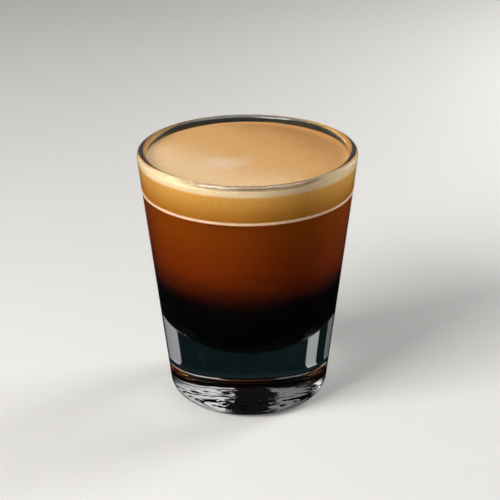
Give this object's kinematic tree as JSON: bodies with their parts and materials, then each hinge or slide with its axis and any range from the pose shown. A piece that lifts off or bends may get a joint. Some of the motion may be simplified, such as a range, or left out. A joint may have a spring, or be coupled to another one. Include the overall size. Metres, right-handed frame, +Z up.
{
  "type": "espresso shot in a glass",
  "caption": "Espresso with a golden crema, served in a clear heavy-based shot glass with a printed measure line.",
  "frame": {"origin": "centre of the circle that the glass stands on, at table height", "axes": "+Z up along the glass's axis of symmetry; the object is round, so +X and +Y are free"},
  "size_m": [0.051, 0.051, 0.061],
  "materials": {
    "clear_glass": "clear, fire-polished",
    "coffee": "dark liquid",
    "foam": "fine wet foam",
    "printed_line": "fired pale ink"
  },
  "bodies": {
    "root": {"shot_glass": "clear_glass", "espresso": "coffee", "crema": "foam", "fill_line": "printed_line"}
  },
  "joints": []
}
